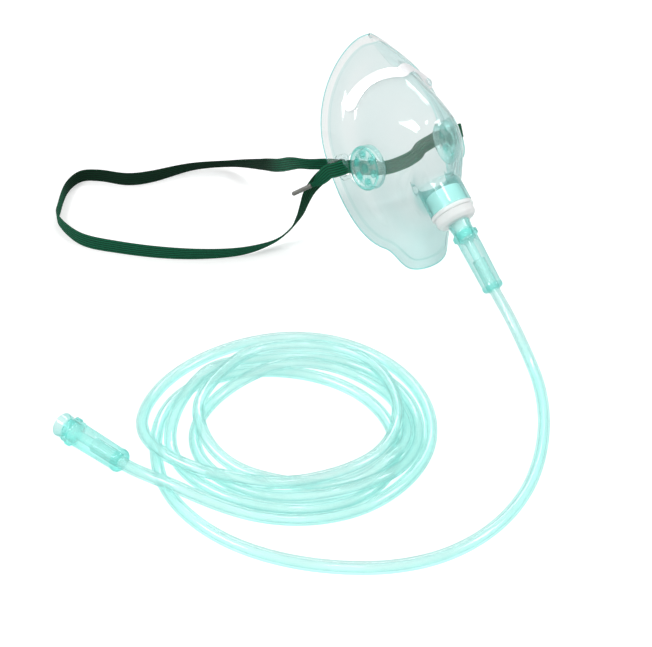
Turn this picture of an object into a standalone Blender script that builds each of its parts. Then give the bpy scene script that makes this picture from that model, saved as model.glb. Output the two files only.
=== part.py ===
"""Oxygen face mask: one-piece clear shell, nose clip, swivel inlet, head strap and supply tubing.

Sizes are in millimetres and angles in degrees; METRE turns them into Blender's metres. The mask
is drawn in its own frame (X to the wearer's right cheek, Y forward, Z from chin to nose) and then
leans on the floor. The strap and the tubing are laid out on the floor, Z = 0.
"""

from collections import namedtuple
from math import cos, exp, pi, radians, sin, sqrt

import bmesh
import bpy
from mathutils import Euler, Matrix, Vector

METRE = 0.001

# Where the mask leans: the centre of its rim, and its turn.
MASK_PLACE = (67.5, 3.0, 58.6)
MASK_TURN = (29.8, -1.6, -147.1)

# Shell. Each section is one closed outline between the rim and the inlet neck.
# nose and chin are (forward, up) points on the centre line, fullness is 1 for a round chin half
# and less for a squarer one, lobe is how far the chin tongue hangs below the outline.
Section = namedtuple("Section", "nose chin half_width widest set_back point fullness lobe")
RIM = Section((0.0, 57.0), (3.0, -55.0), 36.5, 0.53, 13.0, 1.45, 0.50, 12.8)
FLANGE = Section((4.0, 49.5), (7.0, -50.0), 32.5, 0.53, 4.0, 1.30, 0.55, 8.0)
WALL_FOOT = Section((10.0, 44.0), (12.0, -48.5), 27.0, 0.52, 4.0, 1.30, 0.60, 3.0)
CHEEK = Section((20.0, 33.5), (18.0, -45.0), 24.0, 0.50, 1.0, 1.20, 0.75, 1.0)
SHOULDER = Section((32.5, 22.0), (22.0, -39.0), 20.5, 0.48, 0.0, 1.10, 0.90, 0.0)
FRONT = Section((45.5, 7.0), (22.0, -32.0), 15.5, 0.48, 0.0, 1.00, 1.00, 0.0)
SHELL_WALL = 1.4
LOBE_HALF_WIDTH = 17.5
LOBE_ROUND = 0.33
SHELL_STEPS_ROUND = 56
SHELL_STEPS_BETWEEN = 2

# Inlet neck, moulded on the front of the shell, and its axis in the plane of symmetry.
NECK_RADIUS = 11.3
NECK_ROOT = (27.8, -21.5)
NECK_LENGTH = 17.0
NECK_FOOT = 4.0
NECK_DROP = 64.0
NECK_NUB = (1.6, 3.2, 1.4)
NECK_NUB_FROM_END = 9.0

# Exhalation vents, one on each cheek, facing mostly sideways.
VENT_TURN = 0.264
VENT_DEPTH = 2.2
VENT_FACING = 84.0
VENT_RADIUS = 11.5
VENT_WALL = 1.4
VENT_PLATE = 1.4
VENT_PROUD = 1.2
VENT_SUNK = 3.0
VENT_RIM = 0.9
VENT_HUB_RADIUS = 2.4
VENT_HOLE_RADIUS = 1.5
VENT_HOLE_CIRCLE = 6.6
VENT_HOLES = 6
VENT_COLLAR_WALL = 0.7

# Slotted ears for the strap, on the flange beside each vent.
EAR_TURN = 0.265
EAR_DEPTH = 0.9
SLOT_FIT = 0.9
EAR_WALL = 1.9
EAR_THICKNESS = 3.2

# Nose clip, a soft metal strip held by two moulded studs.
CLIP_WIDTH = 6.2
CLIP_THICKNESS = 0.7
CLIP_GAP = 0.6
CLIP_TURN = 0.163
CLIP_END_TURN = 0.0125
CLIP_DEPTH_MIDDLE = 3.0
CLIP_DEPTH_ENDS = 1.55
STUD_RADIUS = 1.4
STUD_HEAD = (2.2, 0.9)
STUD_FIT = 0.3

# Adapter that swivels in the neck, measured along the neck's axis from the neck's end.
SWIVEL_FIT = 0.3
ADAPTER_PLUG_LENGTH = 10.0
ADAPTER_FLANGE_THICKNESS = 2.2
ADAPTER_BODY_RADIUS = 10.4
ADAPTER_BODY_LENGTH = 5.4
ADAPTER_EDGE = 1.6
NIPPLE_RADIUS = 3.5
NIPPLE_LENGTH = 9.0
NIPPLE_BORE_RADIUS = 1.9

# Tube connector, the same moulding at both ends of the tubing.
CONNECTOR_LENGTH = 38.5
MOUTH_RADIUS = 5.7
MOUTH_BORE_RADIUS = 4.9
MOUTH_DEPTH = 4.0
WAIST_RADIUS = 5.3
LUG_RADIUS = 6.6
LUG_FROM_MOUTH = 6.3
LUG_LENGTH = 2.4
LUG_COUNT = 8
BODY_RADIUS = 5.6
BODY_END_RADIUS = 4.9
SOCKET_DEPTH = 17.0
TUBE_FIT = 0.3
CONNECTOR_BORE_RADIUS = 2.0

# Supply tubing.
TUBE_RADIUS = 2.8
TUBE_POINT_EVERY = 14.0
LEAD_ROUTE = (
    (123.5, -88.5, 7.8), (127, -99, 5), (129, -111, 3.4), (131, -132, 2.8), (129, -153, 2.8),
    (125, -172, 2.8), (117, -194, 2.8), (105, -211, 2.8), (91, -224, 2.8), (75, -233, 2.8),
    (57, -237, 2.8), (39, -237, 2.8), (21, -234.5, 2.8), (5, -230, 2.8), (-12, -221.5, 2.8),
    (-28.5, -207, 2.8),
)
LEAD_STRAIGHT = 9.0
TAIL_ROUTE = ((-48.5, -188, 6.0), (-52, -185.5, 6.5))
SUPPLY_END = (-57.0, -181.0, 6.7)
SUPPLY_DIRECTION = (-31.0, 25.0, 0.0)
COIL_CENTRE = (12.5, -154.5)
COIL_OUTER = (69.0, 60.5)
COIL_HOLE = (40.0, 40.0)
COIL_HEIGHT = 15.0
COIL_CORNER = 3.0

# Head strap, a ribbed elastic band folded back through both ears.
STRAP_WIDTH = 7.5
STRAP_THICKNESS = 1.0
STRAP_POINT_EVERY = 5.0
STRAP_TAPER = 9.0
UP = (0, 0, 1)
STRAP_LOOP = (
    ((86, 19.5, 48.7), (-0.2, 0.4, 0.9)), ((81.5, 18.5, 46), (-0.3, 0.4, 0.9)),
    ((79, 18, 42), (-0.4, 0.4, 0.8)), ((72, 17, 38), (-0.3, 0.4, 0.9)),
    ((62, 13, 37), (-0.2, 0.4, 0.9)), ((48, 7, 41), (-0.2, 0.2, 0.9)),
    ((32, 5, 44), (-0.1, -0.1, 1.0)), ((22, 5.5, 43.8), (0.0, -0.26, 1.0)),
    ((14, 13, 40), (0.0, -0.4, 0.9)), ((5, 34, 26), (0.2, -0.5, 0.8)), ((-5, 53, 15), (0.3, -0.5, 0.8)),
    ((-24, 69, 6), (0.1, -0.5, 0.8)), ((-47, 69, 4), (0, -0.4, 0.9)),
    ((-70, 58, 4), (0, 0.1, 1)), ((-84, 55, 4.1), (0, 0.2, 1)), ((-100, 59, 4.1), (0, 0.1, 1)),
    ((-111, 58, 4), UP), ((-117, 46, 4), UP), ((-118, 26, 4), UP), ((-116, 12, 4), UP),
    ((-101, -6, 4), (0, 0.2, 1)), ((-79, -14, 4), (0, 0.1, 1)), ((-54, -19, 4), UP),
    ((-31, -20, 4), (0, -0.2, 1)), ((-12, -17, 4), (0, -0.4, 0.9)), ((3, -10, 5), (0.1, -0.7, 0.7)),
    ((12, -6, 10.5), (0.1, -0.8, 0.6)), ((17, -4.5, 18), (-0.4, -0.8, 0.4)),
    ((19.5, -4, 25), (-0.6, -0.7, 0.35)), ((22.5, -3, 32.5), (-0.76, -0.42, 0.49)),
    ((28, -2.5, 40), (-0.6, 0.0, 0.7)),
)
# The band at each ear, as (towards the rim, up, out of the ear, share of width, share of
# thickness), from inside the mask out through the slot and back over the rim to the tip.
EAR_FOLD = (
    (14, -1, -7.5, 1, 1), (5, 0, -5.5, 1, 1), (0, 0, -2.3, 1, 1), (0, 0, 0.9, 1, 1), (1.2, 0, 2.6, 1, 1),
    (4.5, -0.2, 3, 1, 1), (7.8, -0.3, 2.8, 1, 1), (11.7, -2, 3.2, 1, 1), (15.2, -3.8, 3.6, 0.8, 1.2),
    (18.3, -5.2, 4, 0.36, 1.6), (20.3, -5.6, 4.5, 0.32, 1.6),
)
FAR_EAR_FOLD = (
    (3.5, -0.5, -5, 1, 1), (0, 0, -2.3, 1, 1), (0, 0, 0.9, 1, 1), (0.3, 0.2, 5, 1, 1), (2.5, 0.5, 8.5, 1, 1),
    (6, 0.2, 8, 1, 1), (11, -2, 6, 1, 1), (15.2, -3.8, 4.8, 0.8, 1.2), (18.3, -5.2, 4.4, 0.36, 1.6),
    (20.3, -5.6, 4.4, 0.32, 1.6),
)

TIP_RADIUS = 1.4
TIP_LENGTH = 13.0
TIP_GAP = 0.3

CLEAR_GREEN = (0.80, 0.93, 0.91)
TUBE_GREEN = (0.62, 0.93, 0.88)
STRAP_GREEN = (0.01, 0.10, 0.07)
WHITE = (0.92, 0.95, 0.94)
METAL = (0.75, 0.75, 0.76)


def clear_scene():
    for obj in list(bpy.data.objects):
        bpy.data.objects.remove(obj)


def material(name, colour, roughness, metallic=0.0):
    made = bpy.data.materials.new(name)
    made.use_nodes = True
    shader = made.node_tree.nodes["Principled BSDF"]
    shader.inputs["Base Color"].default_value = (*colour, 1.0)
    shader.inputs["Roughness"].default_value = roughness
    shader.inputs["Metallic"].default_value = metallic
    return made


def add_mesh(name, bm, look, parent=None):
    """One object from a bmesh in millimetres, shaded smooth with sharp edges kept."""
    bmesh.ops.recalc_face_normals(bm, faces=bm.faces)
    bmesh.ops.scale(bm, vec=(METRE, METRE, METRE), verts=bm.verts)
    mesh = bpy.data.meshes.new(name)
    bm.to_mesh(mesh)
    bm.free()
    mesh.shade_smooth()
    mesh.set_sharp_from_angle(angle=radians(40))
    obj = bpy.data.objects.new(name, mesh)
    bpy.context.collection.objects.link(obj)
    obj.parent = parent
    if look:
        mesh.materials.append(look)
    return obj


def add_empty(name, place, matrix):
    empty = bpy.data.objects.new(name, None)
    bpy.context.collection.objects.link(empty)
    empty.matrix_world = Matrix.Translation(Vector(place) * METRE) @ matrix
    return empty


def skin_rings(bm, rings, wrap):
    """Joins rings of points with quads: wrap closes the last ring to the first, else both ends are capped."""
    made = [[bm.verts.new(point) for point in ring] for ring in rings]
    count = len(made[0])
    pairs = list(zip(made, made[1:]))
    if wrap:
        pairs.append((made[-1], made[0]))
    else:
        bm.faces.new(made[0])
        bm.faces.new(reversed(made[-1]))
    for a, b in pairs:
        for i in range(count):
            j = (i + 1) % count
            bm.faces.new((a[i], b[i], b[j], a[j]))


def circle(radius, height, steps):
    turns = [2 * pi * i / steps for i in range(steps)]
    return [Vector((radius * cos(a), radius * sin(a), height)) for a in turns]


def turned(outline, steps):
    """A body turned round Z from a closed outline of (radius, height)."""
    bm = bmesh.new()
    skin_rings(bm, [circle(radius, height, steps) for radius, height in outline], wrap=True)
    return bm


def rod(radius, low, high, steps=24):
    bm = bmesh.new()
    skin_rings(bm, [circle(radius, low, steps), circle(radius, high, steps)], wrap=False)
    return bm


def along(direction, place, across=(0, 0, 1)):
    """A frame at place whose Z points along direction and whose Y is as near as can be to across."""
    z = Vector(direction).normalized()
    y = Vector(across) - z * Vector(across).dot(z)
    y.normalize()
    x = y.cross(z)
    frame = Matrix((x, y, z)).transposed().to_4x4()
    frame.translation = Vector(place)
    return frame


def smooth(points, every):
    """A Catmull-Rom curve through the points, with one about every so many millimetres.

    Values that follow the place in a point, such as a width, are blended with it.
    """
    points = [Vector(p) for p in points]
    before = points[0] * 2 - points[1]
    after = points[-1] * 2 - points[-2]
    knots = [before, *points, after]
    out = []
    for a, b, c, d in zip(knots, knots[1:], knots[2:], knots[3:]):
        steps = max(1, round((Vector(c[0:3]) - Vector(b[0:3])).length / every))
        for i in range(steps):
            t = i / steps
            out.append(
                0.5 * (2 * b + (c - a) * t + (2 * a - 5 * b + 4 * c - d) * t**2
                       + (3 * b - a - 3 * c + d) * t**3)
            )
    return out + [points[-1]]


def blend(values, depth):
    """The value at a fractional place in a list, on a smooth curve through the list."""
    i = min(int(depth), len(values) - 2)
    t = depth - i
    a = values[max(i - 1, 0)]
    b = values[i]
    c = values[i + 1]
    d = values[min(i + 2, len(values) - 1)]
    return 0.5 * (2 * b + (c - a) * t + (2 * a - 5 * b + 4 * c - d) * t**2
                  + (3 * b - a - 3 * c + d) * t**3)


def neck_axis():
    drop = radians(NECK_DROP)
    return Vector((0, cos(drop), -sin(drop)))


def neck_section(distance):
    """The neck's round section this far along its axis, as a Section of the shell."""
    y, z = Vector(NECK_ROOT) + distance * neck_axis().yz
    across = Vector((-neck_axis().z, neck_axis().y)) * NECK_RADIUS
    return Section((y + across.x, z + across.y), (y - across.x, z - across.y), NECK_RADIUS, 0.5, 0.0, 1.0, 1.0, 0.0)


def shell_sections():
    neck = [neck_section(distance) for distance in (0, NECK_FOOT, NECK_LENGTH)]
    return [RIM, FLANGE, WALL_FOOT, CHEEK, SHOULDER, FRONT, *neck]


def skin(turn, depth):
    """A point on the shell's outer face. turn goes once round from the nose, depth counts sections."""
    sections = shell_sections()
    nose = Vector([blend([s.nose[i] for s in sections], depth) for i in (0, 1)])
    chin = Vector([blend([s.chin[i] for s in sections], depth) for i in (0, 1)])
    half_width = blend([s.half_width for s in sections], depth)
    widest = blend([s.widest for s in sections], depth)
    set_back = blend([s.set_back for s in sections], depth)
    point = blend([s.point for s in sections], depth)
    fullness = blend([s.fullness for s in sections], depth)
    lobe = blend([s.lobe for s in sections], depth)
    angle = 2 * pi * turn
    if cos(angle) < 0:
        share = abs(pi - angle % (2 * pi)) / (pi / 2)
        angle = pi - (1 if sin(angle) > 0 else -1) * pi / 2 * share ** (2.2 - 1.2 * fullness)
    up = cos(angle)
    side = sin(angle)
    middle = chin.lerp(nose, widest)
    if up < 0:
        centre = middle + (chin - middle) * -up
        x = half_width * abs(side) ** fullness * (1 if side > 0 else -1)
        share = x / LOBE_HALF_WIDTH
        centre.y -= lobe * (1 - LOBE_ROUND * share**2) * exp(-(share**8))
    else:
        centre = middle + (nose - middle) * up
        x = half_width * abs(side) ** point * (1 if side > 0 else -1)
    return Vector((x, centre.x - set_back * abs(side) ** (0.6 if up > 0 else 1.0), centre.y))


def skin_frame(turn, depth):
    """A frame on the shell's outer face: Z straight out, Y towards the nose side."""
    step = 0.01
    last = len(shell_sections()) - 1
    round_it = skin(turn + step, depth) - skin(turn - step, depth)
    inward = skin(turn, min(depth + step, last)) - skin(turn, max(depth - step, 0))
    outward = round_it.cross(inward)
    return along(outward, skin(turn, depth), across=(0, 0, 1))


def lay(bm, frame):
    bmesh.ops.transform(bm, matrix=frame, verts=bm.verts)
    return bm


def block(size):
    bm = bmesh.new()
    bmesh.ops.create_cube(bm, size=1.0)
    bmesh.ops.scale(bm, vec=size, verts=bm.verts)
    return bm


def boolean(obj, tool, operation):
    """Adds a Boolean of obj with a tool object, which is kept out of the render."""
    tool.hide_render = True
    tool.display_type = "WIRE"
    modifier = obj.modifiers.new(tool.name, "BOOLEAN")
    modifier.operation = operation
    modifier.solver = "EXACT"
    modifier.object = tool


def mirrored(turn, side):
    """The same turn on the wearer's right (side 1) or left (side -1)."""
    return turn if side > 0 else 1 - turn


def shell_body():
    """The lofted wall from the rim to the end of the inlet neck."""
    bm = bmesh.new()
    last = len(shell_sections()) - 1
    depths = [i / SHELL_STEPS_BETWEEN for i in range(last * SHELL_STEPS_BETWEEN + 1)]
    turns = [i / SHELL_STEPS_ROUND for i in range(SHELL_STEPS_ROUND)]
    outer = [[skin(turn, depth) for turn in turns] for depth in depths]
    inner = [
        [skin(turn, depth) - skin_frame(turn, depth).to_3x3().col[2] * SHELL_WALL for turn in turns]
        for depth in depths
    ]
    skin_rings(bm, outer + inner[::-1], wrap=True)
    return bm


def vent_frame(side):
    """Z straight out of the vent, through the point of the cheek that carries it."""
    facing = radians(VENT_FACING)
    direction = (side * sin(facing), cos(facing), 0.06)
    return along(direction, skin(mirrored(VENT_TURN, side), VENT_DEPTH))


def vent_holes():
    turns = [2 * pi * (i + 0.5) / VENT_HOLES for i in range(VENT_HOLES)]
    return [Vector((VENT_HOLE_CIRCLE * cos(a), VENT_HOLE_CIRCLE * sin(a), 0)) for a in turns]


def add_vent(shell, side, parent):
    """A short drum through the cheek, closed by a plate with six collared holes round a hub."""
    frame = vent_frame(side)
    inside = VENT_RADIUS - VENT_WALL
    window = add_mesh("vent_window", lay(rod(inside + 0.2, -3 * VENT_SUNK, 8.0, 32), frame), None, parent)
    boolean(shell, window, "DIFFERENCE")
    top = VENT_PROUD
    bottom = top - VENT_PLATE
    outline = [
        (0.8, bottom), (0.8, top + VENT_RIM * 0.4), (VENT_HUB_RADIUS, top + VENT_RIM * 0.4), (VENT_HUB_RADIUS, top),
        (inside - 0.3, top), (inside, top + VENT_RIM), (VENT_RADIUS - 0.4, top + VENT_RIM),
        (VENT_RADIUS, top + VENT_RIM * 0.5), (VENT_RADIUS, -VENT_SUNK), (inside, -VENT_SUNK), (inside, bottom),
    ]
    drum = add_mesh("vent_drum", lay(turned(outline, 32), frame), None, parent)
    boolean(shell, drum, "UNION")
    collar = VENT_HOLE_RADIUS + VENT_COLLAR_WALL
    for place in vent_holes():
        spot = frame @ Matrix.Translation(place)
        ring = add_mesh("vent_collar", lay(rod(collar, bottom + 0.3, top + VENT_RIM * 0.6, 12), spot), None, parent)
        boolean(shell, ring, "UNION")
    for place in vent_holes():
        spot = frame @ Matrix.Translation(place)
        hole = add_mesh("vent_hole", lay(rod(VENT_HOLE_RADIUS, bottom - 1, top + 3, 12), spot), None, parent)
        boolean(shell, hole, "DIFFERENCE")
    plug = add_mesh("vent_hub", lay(rod(1.2, bottom + 0.2, top + VENT_RIM * 0.3, 12), frame), None, parent)
    boolean(shell, plug, "UNION")


def ear_frame(side):
    return skin_frame(mirrored(EAR_TURN, side), EAR_DEPTH)


def add_ear(shell, side, parent):
    """A thickened pad on the flange with the strap's slot through it."""
    frame = ear_frame(side) @ Matrix.Translation((0, 0, -SHELL_WALL / 2))
    slot = Vector((STRAP_THICKNESS + 2 * SLOT_FIT, STRAP_WIDTH + 2 * SLOT_FIT))
    pad = block((slot.x + 2 * EAR_WALL, slot.y + 2 * EAR_WALL, EAR_THICKNESS))
    upright = [e for e in pad.edges if abs(e.verts[0].co.z - e.verts[1].co.z) > 1]
    bmesh.ops.bevel(pad, geom=upright, offset=EAR_WALL + 0.4, segments=3, affect="EDGES", profile=0.5)
    boolean(shell, add_mesh("ear_pad", lay(pad, frame), None, parent), "UNION")
    cut = block((slot.x, slot.y, 4 * EAR_THICKNESS))
    boolean(shell, add_mesh("ear_slot", lay(cut, frame), None, parent), "DIFFERENCE")


def stud_frame(side):
    return skin_frame(mirrored(CLIP_TURN, side), CLIP_DEPTH_ENDS)


def add_stud(shell, side, parent):
    """A stud that goes through the nose clip, with a flattened head over it."""
    under = CLIP_GAP + CLIP_THICKNESS + STUD_FIT
    head, height = STUD_HEAD
    outline = [(STUD_RADIUS, -0.8), (STUD_RADIUS, under), (head, under), (head, under + height / 2), (head - 0.8, under + height)]
    bm = bmesh.new()
    skin_rings(bm, [circle(radius, level, 16) for radius, level in outline], wrap=False)
    boolean(shell, add_mesh("clip_stud", lay(bm, stud_frame(side)), None, parent), "UNION")


def make_shell(parent):
    """The one-piece moulding: flanged rim, domed wall, inlet neck, vents, ears and clip studs."""
    shell = add_mesh("mask_shell", shell_body(), material("clear soft plastic", CLEAR_GREEN, 0.1), parent)
    for side in (1, -1):
        add_vent(shell, side, parent)
        add_ear(shell, side, parent)
        add_stud(shell, side, parent)
    nub = block(NECK_NUB)
    seat = NECK_LENGTH - NECK_NUB_FROM_END
    place = Vector((NECK_RADIUS, *Vector(NECK_ROOT))) + neck_axis() * seat
    lay(nub, along(neck_axis(), place))
    boolean(shell, add_mesh("neck_nub", nub, None, parent), "UNION")
    return shell


def ribbon(stations, width, thickness, every):
    """A flat band along (place, width direction, width share, thickness share) stations."""
    places = [Vector(s[0]) for s in stations]
    extras = [Vector((*Vector(s[1]).normalized(), s[2], s[3])) for s in stations]
    line = smooth([(*p, *e) for p, e in zip(places, extras)], every)
    rings = []
    for i, station in enumerate(line):
        here = station[0:3]
        before = Vector(line[max(i - 1, 0)][0:3])
        after = Vector(line[min(i + 1, len(line) - 1)][0:3])
        forward = (after - before).normalized()
        broad = Vector(station[3:6])
        broad = (broad - forward * broad.dot(forward)).normalized()
        flat = forward.cross(broad)
        half = broad * width * station[6] / 2
        thick = flat * thickness * station[7] / 2
        rings.append([Vector(here) + a * half + b * thick for a, b in ((1, 1), (1, -1), (-1, -1), (-1, 1))])
    bm = bmesh.new()
    skin_rings(bm, rings, wrap=False)
    return bm


def clip_station(turn, width):
    """Where the nose clip passes over this turn of the shell."""
    depth = CLIP_DEPTH_MIDDLE + (CLIP_DEPTH_ENDS - CLIP_DEPTH_MIDDLE) * abs(turn / CLIP_TURN) ** 1.3
    frame = skin_frame(turn % 1.0, depth).to_3x3()
    lift = CLIP_GAP + CLIP_THICKNESS / 2
    return skin(turn % 1.0, depth) + frame.col[2] * lift, frame.col[1], width, 1


def make_nose_clip(parent):
    """The bent strip over the bridge of the nose, with round ends, drilled for the two studs."""
    middle = [clip_station(CLIP_TURN * i / 12, 1) for i in range(-12, 13)]
    end = [(CLIP_TURN + CLIP_END_TURN * reach, sqrt(1 - reach**2)) for reach in (0.35, 0.65, 0.87, 0.97)]
    left = [clip_station(-turn, width) for turn, width in reversed(end)]
    right = [clip_station(turn, width) for turn, width in end]
    bm = ribbon(left + middle + right, CLIP_WIDTH, CLIP_THICKNESS, 4.0)
    clip = add_mesh("nose_clip", bm, material("bare aluminium", METAL, 0.35, 1.0), parent)
    for side in (1, -1):
        hole = lay(rod(STUD_RADIUS + STUD_FIT, -2, 5, 16), stud_frame(side))
        boolean(clip, add_mesh("clip_hole", hole, None, parent), "DIFFERENCE")
    return clip


def adapter_length():
    """How far the adapter stands out of the neck, flange and body together."""
    return ADAPTER_FLANGE_THICKNESS + ADAPTER_BODY_LENGTH


def make_adapter(parent):
    """The white swivel adapter: plug in the neck, flange, body and the nipple for the tubing."""
    plug = NECK_RADIUS - SHELL_WALL - SWIVEL_FIT - 0.1
    low = SWIVEL_FIT
    face = low + adapter_length()
    bore = NIPPLE_BORE_RADIUS
    outline = [
        (bore, face + NIPPLE_LENGTH), (bore, face - 1.5), (plug - 1.5, face - 3.0), (plug - 1.5, low - ADAPTER_PLUG_LENGTH),
        (plug - 0.5, low - ADAPTER_PLUG_LENGTH), (plug, low - ADAPTER_PLUG_LENGTH + 1.0), (plug, low),
        (NECK_RADIUS, low), (NECK_RADIUS, low + ADAPTER_FLANGE_THICKNESS - 0.5),
        (NECK_RADIUS - 0.5, low + ADAPTER_FLANGE_THICKNESS), (ADAPTER_BODY_RADIUS, low + ADAPTER_FLANGE_THICKNESS),
        (ADAPTER_BODY_RADIUS, face - ADAPTER_EDGE), (ADAPTER_BODY_RADIUS - 0.5, face - 0.5),
        (ADAPTER_BODY_RADIUS - ADAPTER_EDGE, face), (NIPPLE_RADIUS, face),
        (NIPPLE_RADIUS, face + NIPPLE_LENGTH - 3.5), (NIPPLE_RADIUS + 0.6, face + NIPPLE_LENGTH - 3.2),
        (NIPPLE_RADIUS - 0.6, face + NIPPLE_LENGTH),
    ]
    return add_mesh("inlet_adapter", turned(outline, 32), material("white plastic", WHITE, 0.3), parent)


def connector_body():
    """The tube connector, turned round Z with its mouth at Z = 0 and the tube's end at its length."""
    tail = CONNECTOR_LENGTH
    floor = tail - SOCKET_DEPTH
    socket = TUBE_RADIUS + TUBE_FIT
    lug_end = LUG_FROM_MOUTH + LUG_LENGTH
    outline = [
        (MOUTH_BORE_RADIUS, 0), (MOUTH_RADIUS, 0), (MOUTH_RADIUS - 0.1, 1.2), (WAIST_RADIUS, 4.2),
        (WAIST_RADIUS, LUG_FROM_MOUTH - 1.0), (BODY_RADIUS + 0.2, LUG_FROM_MOUTH),
        (BODY_RADIUS + 0.2, lug_end), (BODY_RADIUS, lug_end + 0.8), (BODY_END_RADIUS + 0.3, tail - 2.5),
        (BODY_END_RADIUS, tail - 1.0), (BODY_END_RADIUS - 1.0, tail), (socket, tail),
        (socket, floor), (CONNECTOR_BORE_RADIUS, floor), (CONNECTOR_BORE_RADIUS, NIPPLE_LENGTH + 2.5),
        (NIPPLE_RADIUS + 0.9, NIPPLE_LENGTH + 1.0), (NIPPLE_RADIUS + 0.9, MOUTH_DEPTH),
    ]
    return turned(outline, 24)


def add_connector(name, parent, look):
    """One connector with its ring of lugs, placed by its parent."""
    body = add_mesh(name, connector_body(), look, parent)
    height = LUG_FROM_MOUTH + LUG_LENGTH / 2
    for i in range(LUG_COUNT):
        turn = Matrix.Rotation(2 * pi * i / LUG_COUNT, 4, "Z")
        reach = LUG_RADIUS - WAIST_RADIUS + 0.8
        lug = block((reach, 2.6, LUG_LENGTH))
        outer = [e for e in lug.edges if all(v.co.x > 0 for v in e.verts)]
        bmesh.ops.bevel(lug, geom=outer, offset=0.5, segments=1, affect="EDGES")
        lay(lug, turn @ Matrix.Translation((LUG_RADIUS - reach / 2, 0, height)))
        boolean(body, add_mesh("connector_lug", lug, None, parent), "UNION")
    return body


def make_tube(name, points, look):
    """A round tube through the points, as a curve with filled ends."""
    curve = bpy.data.curves.new(name, "CURVE")
    curve.dimensions = "3D"
    curve.bevel_depth = TUBE_RADIUS * METRE
    curve.bevel_resolution = 3
    curve.use_fill_caps = True
    spline = curve.splines.new("POLY")
    spline.points.add(len(points) - 1)
    for point, place in zip(spline.points, points):
        point.co = (*(Vector(place) * METRE), 1)
    curve.materials.append(look)
    obj = bpy.data.objects.new(name, curve)
    bpy.context.collection.objects.link(obj)
    return obj


def socket_run(mouth, direction):
    """Where a tube starts in the connector's socket, and where it leaves the connector."""
    axis = Vector(direction).normalized()
    leave = Vector(mouth) + axis * CONNECTOR_LENGTH
    return leave - axis * (SOCKET_DEPTH - TUBE_FIT), leave, axis


def make_lead(mouth, direction, look):
    """The tubing from the mask's connector over the floor to the coil."""
    start, leave, axis = socket_run(mouth, direction)
    route = smooth([leave + axis * LEAD_STRAIGHT, *LEAD_ROUTE], TUBE_POINT_EVERY)
    return make_tube("tube_lead", [start, leave, *route], look)


def make_tail(mouth, direction, look):
    """The tubing from the coil into the supply connector."""
    start, leave, axis = socket_run(mouth, direction)
    route = smooth([*TAIL_ROUTE, leave], TUBE_POINT_EVERY)
    return make_tube("tube_tail", [*route, start], look)


def make_coil(look):
    """The outer shape of the coiled tubing: a turned ring, a little wider than it is deep."""
    outer, hole, top = COIL_OUTER[0], COIL_HOLE[0], COIL_HEIGHT
    outline = [
        (hole, COIL_CORNER), (hole + COIL_CORNER, 0), (outer - COIL_CORNER, 0), (outer, COIL_CORNER),
        (outer, top - COIL_CORNER), (outer - COIL_CORNER, top), (hole + COIL_CORNER, top), (hole, top - COIL_CORNER),
    ]
    bm = turned(outline, 60)
    for v in bm.verts:
        radius = v.co.xy.length
        share = (radius - hole) / (outer - hole)
        deep = COIL_HOLE[1] + share * (COIL_OUTER[1] - COIL_HOLE[1])
        v.co.y *= deep / radius
    lay(bm, Matrix.Translation((*COIL_CENTRE, 0)))
    return add_mesh("tube_coil", bm, look)


def fold_stations(mask, side, fold):
    """The band's stations at one ear, in the order of the fold, in millimetres on the floor's frame."""
    frame = mask.matrix_world.copy()
    frame.translation /= METRE
    frame = frame @ ear_frame(side)
    x, y, z = (Vector(frame.col[i][0:3]) for i in range(3))
    return [(frame.translation - x * side * back + y * up + z * out, y, wide, thick) for back, up, out, wide, thick in fold]


def make_strap(mask):
    """The elastic band from the left ear round the back to the right ear, folded through both."""
    left = fold_stations(mask, -1, FAR_EAR_FOLD)
    right = fold_stations(mask, 1, EAR_FOLD)
    stations = left[::-1] + [(place, broad, 1, 1) for place, broad in STRAP_LOOP] + right
    bm = ribbon(stations, STRAP_WIDTH, STRAP_THICKNESS, STRAP_POINT_EVERY)
    add_mesh("head_strap", bm, material("green elastic", STRAP_GREEN, 0.9))
    metal = material("crimped metal", METAL, 0.4, 1.0)
    for name, fold in (("strap_tip_left", left), ("strap_tip_right", right)):
        add_tip(name, fold[-1][0], fold[-1][0] - fold[-2][0], metal)


def add_tip(name, place, direction, look):
    """A crimped metal tip, a rod with rounded edges, just past the end of the band."""
    end = TIP_LENGTH
    outline = [(TIP_RADIUS * 0.8, TIP_GAP), (TIP_RADIUS, TIP_GAP + 0.5), (TIP_RADIUS, end - 0.8), (TIP_RADIUS * 0.6, end)]
    bm = bmesh.new()
    skin_rings(bm, [circle(radius, height, 16) for radius, height in outline], wrap=False)
    return add_mesh(name, lay(bm, along(direction, place)), look)


def main():
    clear_scene()
    turn = Euler([radians(a) for a in MASK_TURN]).to_matrix().to_4x4()
    mask = add_empty("mask_frame", MASK_PLACE, turn)
    make_shell(mask)
    make_nose_clip(mask)
    make_strap(mask)
    clear = material("clear green plastic", TUBE_GREEN, 0.15)
    neck_end = Vector((0, *Vector(NECK_ROOT))) + neck_axis() * NECK_LENGTH
    on_mask = along(neck_axis(), neck_end)
    on_mask.translation *= METRE
    place = mask.matrix_world @ on_mask
    inlet = add_empty("inlet_axis", place.translation / METRE, place.to_3x3().to_4x4())
    make_adapter(inlet)
    axis = place.to_3x3().col[2]
    mouth = place.translation / METRE + axis * (adapter_length() + 2 * SWIVEL_FIT)
    add_connector("mask_connector", add_empty("mask_connector_mouth", mouth, place.to_3x3().to_4x4()), clear)
    make_lead(mouth, axis, clear)
    make_coil(clear)
    back = -Vector(SUPPLY_DIRECTION).normalized()
    supply_mouth = Vector(SUPPLY_END) - back * CONNECTOR_LENGTH
    supply = add_empty("supply_mouth", supply_mouth, along(back, (0, 0, 0)))
    add_connector("supply_connector", supply, clear)
    make_tail(supply_mouth, back, clear)


main()
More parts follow.
